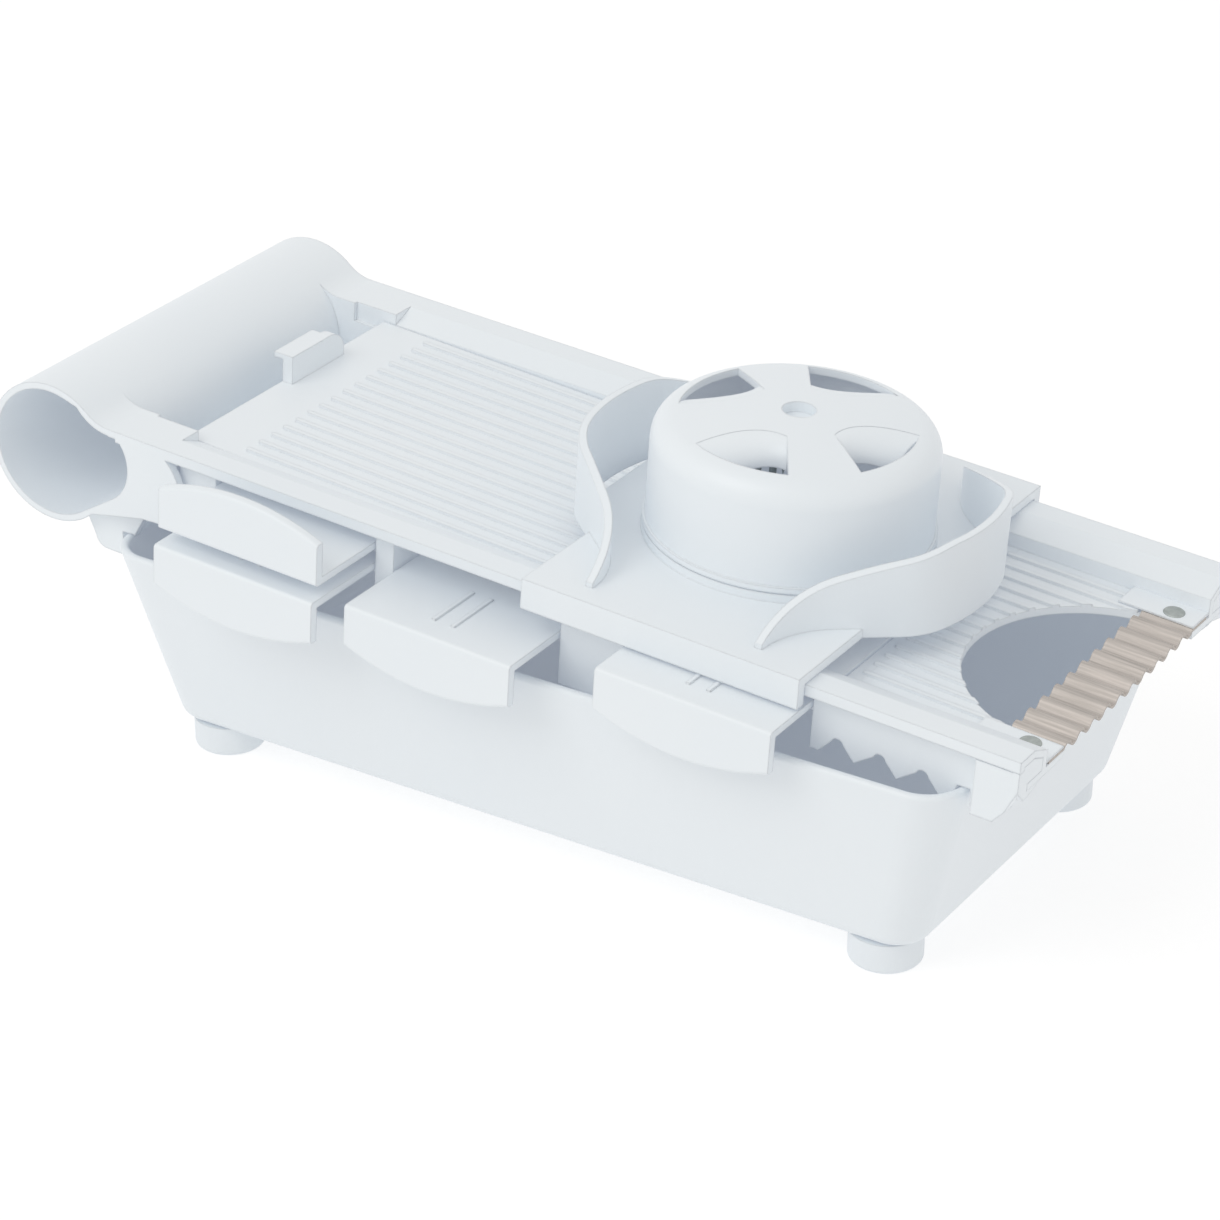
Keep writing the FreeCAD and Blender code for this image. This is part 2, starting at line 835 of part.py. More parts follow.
def wave_steps(z, forward):
    """Arcs of the corrugation across the board, at height z."""
    half_wave = throat_half_width / wave_count
    sign = 1 if forward else -1
    y = -sign * throat_half_width
    steps = [(y, z)]
    for index in range(2 * wave_count):
        crest = index if forward else 2 * wave_count - 1 - index
        bulge = 0.5 * wave_height * (1 if crest % 2 == 0 else -1)
        steps.append(((y + sign * 0.5 * half_wave, z + bulge), (y + sign * half_wave, z)))
        y += sign * half_wave
    return steps


def make_crinkle_blade():
    """Corrugated steel strip over the throat, with flat ears for its rivets."""
    reach = throat_half_width + blade_ear
    steps = [(-reach, blade_thickness)] + wave_steps(blade_thickness, True)
    steps += [(reach, blade_thickness), (reach, 0.0)] + wave_steps(0.0, False) + [(-reach, 0.0)]
    strip = prism("yz", steps, 0, blade_length)
    for y in (-rivet_y(), rivet_y()):
        hole_radius = rivet_diameter / 2 + pin_clearance
        strip = strip.cut(disc(hole_radius, -end_play, end_play, 0.5 * blade_length, y))
    return on_board(on_floor(strip, blade_left_x))


def make_rivet(diameter, head_diameter, head_height, top, bottom):
    """Round-headed rivet from a head at top to an upset end at bottom."""
    shank = disc(diameter / 2, bottom, top)
    head = disc(head_diameter / 2, top, top + head_height)
    head = round_edges(head, 0.6 * head_height, lambda e: e.BoundBox.ZMin > top + 0.9 * head_height)
    tail = disc(0.8 * diameter, bottom - 0.8 * head_height, bottom)
    return union([shank, head, tail])


def make_crinkle_rivets():
    """The two rivets of the crinkle blade."""
    rivet = make_rivet(
        rivet_diameter, rivet_head_diameter, rivet_head_height, blade_thickness, -landing_thickness
    )
    return Part.makeCompound([on_board(on_floor(rivet, rivet_x(), y)) for y in (-rivet_y(), rivet_y())])


# Blade inserts, drawn with the top of their plate at z = 0


def panel_front():
    """Outer face of an insert's panel when the insert is pushed home."""
    return -(tub_rim_width / 2 + panel_clearance + panel_thickness)


def insert_frame(cuts):
    """Plastic frame: flat plate, curved front panel and two small grip ribs."""
    half = insert_length / 2
    front = panel_front()
    plate = block(-half, half, front, insert_tail, -insert_plate, 0)
    panel = prism("xz", [
        (-half, 0.0), (half, 0.0), (half, -panel_height),
        ((0.0, -panel_height - panel_bulge), (-half, -panel_height)),
    ], front, front + panel_thickness)
    frame = union([plate, panel])
    frame = round_edges(
        frame, panel_edge_radius,
        lambda e: e.BoundBox.YMax < front + 0.01 and e.BoundBox.XLength > 0.5 * insert_length,
    )
    ribs = []
    for x in (-0.5 * grip_rib_gap, 0.5 * grip_rib_gap):
        ribs.append(block(
            x - grip_rib_width / 2, x + grip_rib_width / 2,
            front + 3 * panel_thickness, -steel_half_width - 2 * grip_rib_gap, -0.5, grip_rib_height,
        ))
    frame = union([frame] + ribs)
    for cut in cuts:
        frame = frame.cut(cut)
    return frame


def steel_seat(x0, x1):
    """Shallow recess in the plate for a steel part, and rivet holes at its corners."""
    seat = block(
        x0 - pin_clearance, x1 + pin_clearance, -steel_half_width - pin_clearance,
        steel_half_width + pin_clearance, -steel_seat_depth, end_play,
    )
    return [seat] + pin_holes(x0, x1)


def pin_spots(x0, x1):
    """Rivet places near the corners of a steel part."""
    inset = 1.5 * pin_diameter
    y = 0.5 * (steel_half_width + steel_window_half_width)
    return [(x, sy * y) for x in (x0 + inset, x1 - inset) for sy in (-1, 1)]


def pin_holes(x0, x1):
    """Holes for the rivets of a steel part."""
    radius = pin_diameter / 2 + pin_clearance
    return [disc(radius, -overshoot, overshoot, x, y) for x, y in pin_spots(x0, x1)]


def steel_sheet(x0, x1):
    """Flat steel part in its seat, with rivet holes."""
    sheet = block(
        x0, x1, -steel_half_width, steel_half_width, -steel_seat_depth, steel_thickness - steel_seat_depth
    )
    for hole in pin_holes(x0, x1):
        sheet = sheet.cut(hole)
    return sheet


def insert_rivets(x0, x1):
    """Four rivets that hold a steel part on its frame."""
    top = steel_thickness - steel_seat_depth
    rivet = make_rivet(pin_diameter, 1.6 * pin_diameter, pin_head_height, top, -insert_plate)
    rivets = []
    for x, y in pin_spots(x0, x1):
        one = rivet.copy()
        one.translate(Vector(x, y, 0))
        rivets.append(one)
    return Part.makeCompound(rivets)


def blade_span():
    """Both x limits of a straight blade, whose cutting edge faces the handle."""
    left = -0.2 * slicing_blade_width
    return left, left + slicing_blade_width


def straight_blade():
    """Straight blade with a ground bevel on its cutting edge."""
    x0, x1 = blade_span()
    top = steel_thickness - steel_seat_depth
    bevel = prism("xz", [
        (x0 - 1.0, top + 0.01), (x0 + bevel_width, top + 0.01), (x0 - 1.0, -steel_seat_depth),
    ], -steel_half_width - 1, steel_half_width + 1)
    return steel_sheet(x0, x1).cut(bevel)


def blade_slot():
    """Gap in front of a straight blade that the slices fall through."""
    x0 = blade_span()[0]
    return block(
        x0 - slicing_gap, x0 + 0.25 * slicing_blade_width, -steel_window_half_width, steel_window_half_width,
        -overshoot, overshoot,
    )


def comb_span():
    """Both x limits of the julienne comb, in front of the slot."""
    right = blade_span()[0] - slicing_gap
    return right - 3 * comb_tooth_length, right


def julienne_comb():
    """Strip with a row of upright cutting teeth."""
    x0, x1 = comb_span()
    top = steel_thickness - steel_seat_depth
    teeth = []
    count = int(2 * (steel_window_half_width - comb_pitch / 2) / comb_pitch) + 1
    for index in range(count):
        y = (index - (count - 1) / 2) * comb_pitch
        teeth.append(prism("xz", [
            (x1 - comb_tooth_length, top - 0.2), (x1, top - 0.2), (x1, top + comb_tooth_height),
            (x1 - 0.4 * comb_tooth_length, top + comb_tooth_height),
        ], y - comb_tooth_width / 2, y + comb_tooth_width / 2))
    return union([steel_sheet(x0, x1)] + teeth)


def grater_holes(pitch, hole, sides):
    """Holes of a grater plate in staggered rows."""
    holes = []
    rows = int((grater_width - 4 * pin_diameter) / pitch)
    columns = int(2 * (steel_window_half_width - pitch / 2) / pitch)
    for row in range(rows):
        x = (row - (rows - 1) / 2) * pitch
        for column in range(columns - row % 2):
            y = (column - (columns - 1 - row % 2) / 2) * pitch
            rim = Part.makePolygon([
                Vector(x + hole / 2 * math.cos(2 * math.pi * i / sides),
                       y + hole / 2 * math.sin(2 * math.pi * i / sides), -overshoot)
                for i in range(sides + 1)
            ])
            holes.append(Part.Face(rim).extrude(Vector(0, 0, 2 * overshoot)))
    return Part.makeCompound(holes)


def grater_plate(pitch, hole, sides):
    """Perforated steel plate."""
    return steel_sheet(-grater_width / 2, grater_width / 2).cut(grater_holes(pitch, hole, sides))


def grater_window():
    """Opening in a frame under a grater plate."""
    half = grater_width / 2 - 3 * pin_diameter
    return block(-half, half, -steel_window_half_width, steel_window_half_width, -overshoot, overshoot)


def slicing_insert():
    """Working insert with one straight blade."""
    x0, x1 = blade_span()
    return {
        "slicing_frame": insert_frame(steel_seat(x0, x1) + [blade_slot()]),
        "slicing_blade": straight_blade(),
        "slicing_rivets": insert_rivets(x0, x1),
    }


def julienne_insert():
    """Stored insert with a straight blade and a comb of small teeth."""
    x0, x1 = blade_span()
    c0, c1 = comb_span()
    cuts = steel_seat(x0, x1) + steel_seat(c0, c1) + [blade_slot()]
    rivets = insert_rivets(x0, x1).Solids + insert_rivets(c0, c1).Solids
    return {
        "julienne_frame": insert_frame(cuts),
        "julienne_blade": straight_blade(),
        "julienne_comb": julienne_comb(),
        "julienne_rivets": Part.makeCompound(rivets),
    }


def grater_insert(name, pitch, hole, sides):
    """Stored insert with a perforated grater plate."""
    half = grater_width / 2
    return {
        name + "_frame": insert_frame(steel_seat(-half, half) + [grater_window()]),
        name + "_plate": grater_plate(pitch, hole, sides),
        name + "_rivets": insert_rivets(-half, half),
    }


def set_insert(shapes, x, plate_top, drawn, flipped):
    """Put an insert into its slot, drawn out a little, upside down where it is stored that way."""
    placed = {}
    for name, shape in shapes.items():
        lift = plate_top
        if flipped:
            shape = shape.mirror(Vector(0, 0, 0), Vector(0, 0, 1))
            lift = plate_top - insert_plate
        moved = shape.copy()
        moved.translate(Vector(x, -drawn, lift))
        placed[name] = on_board(moved)
    return placed


# Food guard


def shield_side(offset):
    """Points down one front wing of the shield, at an offset from its middle line."""
    angle = math.radians(shield_leave_angle)
    radius = shield_radius - shield_thickness / 2
    outward = (math.cos(angle), -math.sin(angle))
    ahead = (-math.sin(angle), -math.cos(angle))
    leave = ((radius + offset) * outward[0], (radius + offset) * outward[1])
    turn = (leave[0] + shield_run * ahead[0], leave[1] + shield_run * ahead[1])
    bend = shield_bend_radius - offset
    centre = (turn[0] + bend * outward[0], turn[1] + bend * outward[1])
    half = 0.5 * angle
    middle = (centre[0] - bend * math.cos(half), centre[1] + bend * math.sin(half))
    end = (centre[0] - bend, centre[1])
    front = -(rail_half_width + sled_side_gap + sled_lip_thickness - shield_front_inset)
    return leave, turn, middle, end, (end[0], min(front, end[1] - 0.1))


def shield_outline():
    """Plan of the upright shield: a ring open to the front, with two wings that sweep forward."""
    def flip(point):
        return -point[0], point[1]

    half = shield_thickness / 2
    leave, turn, middle, end, front = shield_side(half)
    back = (0.0, shield_radius)
    steps = [
        flip(front), flip(end), (flip(middle), flip(turn)), flip(leave), (back, leave),
        turn, (middle, end), front,
    ]
    leave, turn, middle, end, front = shield_side(-half)
    back = (0.0, shield_radius - shield_thickness)
    steps += [
        front, end, (middle, turn), leave, (back, flip(leave)),
        flip(turn), (flip(middle), flip(end)), flip(front),
    ]
    return steps


def make_guard_sled():
    """Sled that rides on the rails, with shield, food hole and the collar the cap stands on."""
    half = sled_length / 2
    inner = rail_half_width + sled_side_gap
    outer = inner + sled_lip_thickness
    low = sled_gap
    top = sled_gap + sled_plate
    plate = union([block(-half, half, -outer, outer, low, top), disc(shield_radius, low, top)])
    meet = math.sqrt(shield_radius ** 2 - half ** 2)
    plate = round_edges(
        plate, sled_corner_radius,
        lambda e: e.BoundBox.ZLength > 0.9 * sled_plate
        and abs(abs(e.BoundBox.Center.y) - meet) < 0.1 and abs(abs(e.BoundBox.Center.x) - half) < 0.1,
    )
    lips = both_sides(block(-half, half, inner, outer, -sled_lip_depth, top))
    wall = prism("xy", shield_outline(), low, top + shield_height)
    fall = prism("yz", [
        (-shield_fall_start, top + shield_height + 1.0),
        (-shield_fall_start, top + shield_height),
        ((-0.5 * (shield_fall_start + outer) + 1.0, top + 0.58 * shield_height),
         (-outer + shield_front_inset, top)),
        (-outer - end_play, top),
        (-outer - end_play, top + shield_height + 1.0),
    ], -rail_half_width, rail_half_width)
    collar = disc(cap_radius + cap_flange, low, top + collar_height)
    sled = union([plate, wall.cut(fall), collar] + lips)
    sled = sled.cut(disc(chute_radius, -overshoot, overshoot))
    sled.translate(Vector(sled_x, 0, 0))
    return on_board(sled)


# Pusher cap


def polar(radius, degrees):
    """Point at a radius and angle."""
    angle = math.radians(degrees)
    return radius * math.cos(angle), radius * math.sin(angle)


def cap_window(axis, side):
    """One petal window, to one side of a spoke axis."""
    middle_angle = 0.5 * (window_inner_angle + window_end_angle)
    bow_radius = 0.5 * (window_inner_radius + window_outer_radius) - window_bow
    return prism("xy", [
        polar(window_inner_radius, axis + side * window_inner_angle),
        polar(window_outer_radius, axis + side * window_start_angle),
        (polar(window_outer_radius, axis + side * 0.5 * (window_start_angle + window_end_angle)),
         polar(window_outer_radius, axis + side * window_end_angle)),
        (polar(bow_radius, axis + side * middle_angle),
         polar(window_inner_radius, axis + side * window_inner_angle)),
    ], 0.4 * cap_height, overshoot + cap_height)


def pin_places():
    """Places of the food pins, two under each of the four spokes."""
    return [polar(r, window_axis_angle + 90 * k) for k in range(4) for r in grip_pin_radii]


def make_pusher_cap():
    """Round cap with a soft shoulder, four petal windows, a centre hole and pin bosses."""
    shell = disc(cap_radius, 0, cap_height)
    shell = round_edges(shell, cap_shoulder_radius, lambda e: e.BoundBox.ZMin > cap_height - 0.01)
    hollow = disc(cap_radius - cap_wall, -end_play, cap_height - cap_wall)
    hollow = round_edges(
        hollow, cap_shoulder_radius - cap_wall, lambda e: e.BoundBox.ZMin > cap_height - cap_wall - 0.01
    )
    flange = disc(cap_radius + cap_flange, 0, cap_flange_height)
    shell = union([shell, flange]).cut(hollow)
    core = disc(core_radius, cap_height - core_depth, cap_height - 0.5 * cap_wall).cut(
        disc(core_radius - core_wall, 0, cap_height))
    for axis in (window_axis_angle, window_axis_angle + 180):
        for side in (-1, 1):
            shell = shell.cut(cap_window(axis, side))
    top = cap_height - cap_wall
    bosses = [disc(pin_boss_diameter / 2, top - pin_boss_height, top + 0.5 * cap_wall, x, y)
              for x, y in pin_places()]
    cap = union([shell, core] + bosses)
    cap = cap.cut(disc(cap_hole_diameter / 2, 0, 2 * cap_height))
    for x, y in pin_places():
        seat = top - pin_boss_height
        cap = cap.cut(disc(grip_pin_diameter / 2 + pin_clearance, seat - 1, seat + pin_seat_depth, x, y))
    cap.translate(Vector(sled_x, 0, cap_bottom))
    return on_board(cap)


def make_grip_pins():
    """Pointed steel pins that hold the food under the cap."""
    seat = cap_bottom + cap_height - cap_wall - pin_boss_height + pin_seat_depth - seat_clearance
    tip = seat - grip_pin_length
    pins = []
    for x, y in pin_places():
        shank = disc(grip_pin_diameter / 2, tip + grip_pin_tip, seat, sled_x + x, y)
        point = Part.makeCone(0.2, grip_pin_diameter / 2, grip_pin_tip, Vector(sled_x + x, y, tip))
        pins.append(union([shank, point]))
    return on_board(Part.makeCompound(pins))


# All pieces


def all_pieces():
    """Every piece by name, in its place."""
    pieces = {
        "tub": make_tub(),
        "tub_feet": make_feet(),
        "board": make_board(),
        "runway_plate": make_runway_plate(),
        "crinkle_blade": make_crinkle_blade(),
        "crinkle_rivets": make_crinkle_rivets(),
        "guard_sled": make_guard_sled(),
        "pusher_cap": make_pusher_cap(),
        "grip_pins": make_grip_pins(),
    }
    pieces.update(set_insert(slicing_insert(), working_slot_x, working_plate_top, slicing_drawn, False))
    pieces.update(set_insert(julienne_insert(), first_storage_x, upper_plate_top, julienne_drawn, True))
    pieces.update(set_insert(
        grater_insert("coarse_grater", coarse_pitch, coarse_hole, 8),
        first_storage_x, lower_plate_top, coarse_drawn, False))
    pieces.update(set_insert(
        grater_insert("fine_grater", fine_pitch, fine_hole, 4),
        second_storage_x, lower_plate_top, fine_drawn, False))
    return pieces


os.makedirs("parts", exist_ok=True)
for name, shape in all_pieces().items():
    shape.exportStep("parts/" + name + ".step")
    print(name, len(shape.Solids), shape.isValid(), round(shape.Volume, 1))
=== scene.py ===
"""Looks of the mandoline slicer: white moulded plastic, brushed steel, pale studio."""
import math

import bmesh
import bpy
from mathutils import Matrix, Vector


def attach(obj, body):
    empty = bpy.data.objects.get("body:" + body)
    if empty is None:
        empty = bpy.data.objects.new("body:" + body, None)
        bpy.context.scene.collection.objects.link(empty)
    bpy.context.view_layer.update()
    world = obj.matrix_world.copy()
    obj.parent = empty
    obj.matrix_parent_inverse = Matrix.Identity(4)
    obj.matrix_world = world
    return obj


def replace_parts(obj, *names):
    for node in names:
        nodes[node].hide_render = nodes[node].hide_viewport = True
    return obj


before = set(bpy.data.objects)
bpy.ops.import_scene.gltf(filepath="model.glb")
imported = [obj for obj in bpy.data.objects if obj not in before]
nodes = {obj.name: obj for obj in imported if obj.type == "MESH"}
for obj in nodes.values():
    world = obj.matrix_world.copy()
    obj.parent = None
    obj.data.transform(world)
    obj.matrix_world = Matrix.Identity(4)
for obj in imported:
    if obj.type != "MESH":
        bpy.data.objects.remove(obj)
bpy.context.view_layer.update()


# Plastic and steel, with lengths in metres

white_low = (0.755, 0.800, 0.820)
white_high = (0.775, 0.815, 0.830)
white_roughness = (0.34, 0.46)
foot_low = (0.735, 0.780, 0.800)
foot_high = (0.755, 0.795, 0.815)
foot_roughness = (0.45, 0.55)
plastic_index = 1.49
# Painted light: a faint bluish glow on all the plastic that lifts shaded insides and hollows
plastic_painted_glow = 0.085
plastic_painted_glow_colour = (0.80, 0.84, 1.0, 1.0)
plastic_edge = 0.0007
cloud_scale = 14.0
cloud_detail = 3.0
skin_scale = 2600.0
skin_detail = 2.0
skin_depth = 0.00006

blade_low = (0.41, 0.38, 0.352)
blade_high = (0.585, 0.54, 0.505)
blade_streak = (1.0, 40.0, 1.0)
rivet_low = (0.37, 0.395, 0.385)
rivet_high = (0.475, 0.505, 0.49)
rivet_streak = (12.0, 12.0, 12.0)
steel_roughness = (0.52, 0.68)
steel_edge = 0.00015
streak_scale = 60.0
streak_detail = 4.0
streak_depth = 0.00008

ramp_start = 0.3
ramp_end = 0.7
bump_strength = 0.25
edge_samples = 4


def new_material(name):
    """Empty node material with a Principled shader and object coordinates."""
    material = bpy.data.materials.new(name)
    material.use_nodes = True
    tree = material.node_tree
    shader = tree.nodes["Principled BSDF"]
    place = tree.nodes.new("ShaderNodeTexCoord")
    return material, tree, shader, place


def noise(tree, vector, scale, detail):
    """Noise texture read at a vector."""
    texture = tree.nodes.new("ShaderNodeTexNoise")
    texture.inputs["Scale"].default_value = scale
    texture.inputs["Detail"].default_value = detail
    tree.links.new(vector, texture.inputs["Vector"])
    return texture.outputs["Fac"]


def ramp(tree, value, low, high):
    """Colour ramp between two colours."""
    node = tree.nodes.new("ShaderNodeValToRGB")
    node.color_ramp.elements[0].position = ramp_start
    node.color_ramp.elements[0].color = (*low, 1.0)
    node.color_ramp.elements[1].position = ramp_end
    node.color_ramp.elements[1].color = (*high, 1.0)
    tree.links.new(value, node.inputs["Fac"])
    return node.outputs["Color"]


def spread(tree, value, low, high):
    """Map 0..1 onto a range."""
    node = tree.nodes.new("ShaderNodeMapRange")
    node.inputs["To Min"].default_value = low
    node.inputs["To Max"].default_value = high
    tree.links.new(value, node.inputs["Value"])
    return node.outputs["Result"]


def soft_edges(tree, shader, height, distance, radius):
    """Fine surface bump over slightly rounded edges."""
    bevel = tree.nodes.new("ShaderNodeBevel")
    bevel.samples = edge_samples
    bevel.inputs["Radius"].default_value = radius
    bump = tree.nodes.new("ShaderNodeBump")
    bump.inputs["Strength"].default_value = bump_strength
    bump.inputs["Distance"].default_value = distance
    tree.links.new(height, bump.inputs["Height"])
    tree.links.new(bevel.outputs["Normal"], bump.inputs["Normal"])
    tree.links.new(bump.outputs["Normal"], shader.inputs["Normal"])


def plastic(name, low, high, roughness):
    """Moulded plastic with faint colour drift, uneven gloss, a fine spark-eroded skin and a faint bluish
    glow, which is painted light that lifts its shaded insides and hollows.
    """
    material, tree, shader, place = new_material(name)
    cloud = noise(tree, place.outputs["Object"], cloud_scale, cloud_detail)
    skin = noise(tree, place.outputs["Object"], skin_scale, skin_detail)
    tree.links.new(ramp(tree, cloud, low, high), shader.inputs["Base Color"])
    tree.links.new(spread(tree, cloud, *roughness), shader.inputs["Roughness"])
    shader.inputs["IOR"].default_value = plastic_index
    # Painted light: a faint bluish emission that brightens shaded insides in place of light bounced into
    # them
    shader.inputs["Emission Color"].default_value = plastic_painted_glow_colour
    shader.inputs["Emission Strength"].default_value = plastic_painted_glow
    soft_edges(tree, shader, skin, skin_depth, plastic_edge)
    return material


def steel(name, low, high, streak):
    """Brushed steel with streaks along one direction."""
    material, tree, shader, place = new_material(name)
    stretch = tree.nodes.new("ShaderNodeMapping")
    stretch.inputs["Scale"].default_value = streak
    tree.links.new(place.outputs["Object"], stretch.inputs["Vector"])
    lines = noise(tree, stretch.outputs["Vector"], streak_scale, streak_detail)
    tree.links.new(ramp(tree, lines, low, high), shader.inputs["Base Color"])
    tree.links.new(spread(tree, lines, *steel_roughness), shader.inputs["Roughness"])
    shader.inputs["Metallic"].default_value = 1.0
    soft_edges(tree, shader, lines, streak_depth, steel_edge)
    return material


white = plastic("white_plastic", white_low, white_high, white_roughness)
foot_white = plastic("foot_plastic", foot_low, foot_high, foot_roughness)
blade_steel = steel("blade_steel", blade_low, blade_high, blade_streak)
rivet_steel = steel("rivet_steel", rivet_low, rivet_high, rivet_streak)


def finish_of(name):
    """Material of a CAD node, by what its name says it is."""
    if name == "runway_plate":
        return white
    if name == "tub_feet":
        return foot_white
    if name.endswith(("_blade", "_plate", "_comb")):
        return blade_steel
    if name.endswith(("_rivets", "_pins")):
        return rivet_steel
    return white


for name, node in nodes.items():
    node.data.materials.clear()
    node.data.materials.append(finish_of(name))


# Solids in millimetres on the tilted board: x along it from the guard's middle, z up from its datum

millimetre = 0.001
board_tilt = math.radians(3.86)
board_datum_metres = (-0.0094, 0.0, 0.0874)
guard_x = 56.0
origin = (0.0, 0.0)
full_turn = 2 * math.pi
quarter_turn = math.pi / 2
round_steps = 96
axis_radius = 0.01
seam = 0.03
weld_metres = 0.000004
sharp_angle = math.radians(35)


def solid(name, points, faces):
    """Mesh object from points in the guard's frame, set down on the board."""
    place = Matrix.Translation(board_datum_metres) @ Matrix.Rotation(board_tilt, 4, "Y")
    spots = [place @ (Vector((x + guard_x, y, z)) * millimetre) for x, y, z in points]
    mesh = bpy.data.meshes.new(name)
    mesh.from_pydata(spots, [], faces)
    shape = bmesh.new()
    shape.from_mesh(mesh)
    bmesh.ops.recalc_face_normals(shape, faces=shape.faces)
    shape.to_mesh(mesh)
    shape.free()
    return bpy.data.objects.new(name, mesh)


def lathe(name, profile, centre=origin, steps=round_steps):
    """Closed profile of (radius, height) points turned round an upright axis."""
    count = len(profile)
    points, faces = [], []
    for k in range(steps):
        angle = full_turn * k / steps
        points += [(centre[0] + r * math.cos(angle), centre[1] + r * math.sin(angle), z) for r, z in profile]
        after = (k + 1) % steps
        for i in range(count):
            j = (i + 1) % count
            faces.append((k * count + i, k * count + j, after * count + j, after * count + i))
    return solid(name, points, faces)


def sweep(name, sections):
    """Closed solid through a row of closed outlines that have as many points."""
    count = len(sections[0])
    last = (len(sections) - 1) * count
    faces = [tuple(range(count)), tuple(range(last, last + count))]
    for start in range(0, last, count):
        for i in range(count):
            j = (i + 1) % count
            faces.append((start + i, start + j, start + count + j, start + count + i))
    return solid(name, [point for section in sections for point in section], faces)


def slab(name, loop, low, high):
    """Upright prism over a closed loop of plan points."""
    return sweep(name, [[(x, y, z) for x, y in loop] for z in (low, high)])


def arc(centre, radius, start, end, steps):
    """Points along an arc, both ends included."""
    turns = [start + (end - start) * k / steps for k in range(steps + 1)]
    return [(centre[0] + radius * math.cos(a), centre[1] + radius * math.sin(a)) for a in turns]


def ring(centre, radius, steps):
    """Points round a full circle."""
    return arc(centre, radius, 0.0, full_turn, steps)[:-1]


def combine(base, others, operation):
    """Base joined with, or cut by, the other solids, with doubled points welded."""
    scene = bpy.context.scene.collection
    for shape in [base] + others:
        scene.objects.link(shape)
    for other in others:
        step = base.modifiers.new(other.name, "BOOLEAN")
        step.operation = operation
        step.solver = "EXACT"
        step.object = other
    done = bpy.data.meshes.new_from_object(base.evaluated_get(bpy.context.evaluated_depsgraph_get()))
    for shape in [base] + others:
        bpy.data.objects.remove(shape)
    welded = bmesh.new()
    welded.from_mesh(done)
    bmesh.ops.remove_doubles(welded, verts=welded.verts, dist=weld_metres)
    bmesh.ops.dissolve_degenerate(welded, edges=welded.edges, dist=weld_metres)
    welded.to_mesh(done)
    welded.free()
    return bpy.data.objects.new(done.name, done)


def dress(shape, name, body, material):
    """Smooth, painted piece that rides on a body."""
    shape.name = name
    shape.data.name = name
    bpy.context.scene.collection.objects.link(shape)
    shape.data.shade_smooth()
    shape.data.set_sharp_from_angle(angle=sharp_angle)
    shape.data.materials.clear()
    shape.data.materials.append(material)
    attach(shape, body)
    return shape


# Guard: sled on the rails with two shield ribbons, over the plainer solid

sled_half = 41.5
sled_low = 0.3
sled_top = 3.0
lip_inner = 62.4
lip_outer = 65.6
lip_depth = 5.7
slot_x = 51.0
slot_margin = 1.0
chute_radius = 35.1
chute_low = -10.0
chute_high = 20.0
collar_radius = 39.3
collar_top = 5.4
collar_overlap = 1.0
shield_radius = 58.2
shield_thickness = 2.2
shield_height = 21.7
shield_side = math.radians(17.0)
shield_heading = math.radians(50.0)
shield_run = 17.0
shoulder_radius = 20.0
bend_radius = 28.0
level_half = 14.0
fall_end = 60.5
fall_power = 1.5
bulge_steps = 12
shoulder_steps = 6
run_steps = 5
bend_steps = 10


def shield_path(offset):
    """Plan of one shield ribbon at a distance from its middle line, front end to back end."""
    middle = shield_radius - shield_thickness / 2
    reach = middle - shoulder_radius
    shoulder = reach * math.cos(shield_side), -reach * math.sin(shield_side)
    round_over = arc(shoulder, shoulder_radius + offset, -shield_heading, -shield_side, shoulder_steps)
    leave_x, leave_y = round_over[0]
    turn_x = leave_x - shield_run * math.sin(shield_heading)
    turn_y = leave_y - shield_run * math.cos(shield_heading)
    bend = bend_radius - offset
    pivot = turn_x + bend * math.cos(shield_heading), turn_y - bend * math.sin(shield_heading)
    wing = arc(pivot, bend, math.pi, math.pi - shield_heading, bend_steps)
    run = []
    for k in range(1, run_steps):
        along_x = (leave_x - turn_x) * k / run_steps
        along_y = (leave_y - turn_y) * k / run_steps
        run.append((turn_x + along_x, turn_y + along_y))
    front = wing + run + round_over
    bulge = arc(origin, middle + offset, -shield_side, shield_side, bulge_steps)[1:-1]
    return front + bulge + [(x, -y) for x, y in reversed(front)]


def mirrored(points):
    """The same plan points at the other end of the sled."""
    return [(-x, y) for x, y in points]


def shield_rise(y):
    """Height of the shield above the sled's plate, falling towards both ends."""
    share = max(0.0, abs(y) - level_half) / (fall_end - level_half)
    return shield_height * (1.0 - share ** fall_power)


def ribbon(name, outer, inner):
    """Upright wall between two plan paths."""
    root = sled_low + 2 * seam
    sections = []
    for (ox, oy), (ix, iy) in zip(outer, inner):
        outer_top = sled_top + shield_rise(oy)
        inner_top = sled_top + shield_rise(iy)
        sections.append([(ox, oy, root), (ox, oy, outer_top), (ix, iy, inner_top), (ix, iy, root)])
    return sweep(name, sections)


def sled_body():
    """Plate with a lip down each side, as one section along the board."""
    section = [
        (-lip_outer, -lip_depth), (-lip_inner, -lip_depth), (-lip_inner, sled_low), (lip_inner, sled_low),
        (lip_inner, -lip_depth), (lip_outer, -lip_depth), (lip_outer, sled_top), (-lip_outer, sled_top),
    ]
    return sweep("plate", [[(x, y, z) for y, z in section] for x in (-sled_half, sled_half)])


def collar():
    """Ring that the cap stands on, before the food hole is cut."""
    inner = chute_radius - collar_overlap
    low = sled_low + 3 * seam
    section = [(inner, low), (collar_radius, low), (collar_radius, collar_top), (inner, collar_top)]
    return lathe("collar", section)


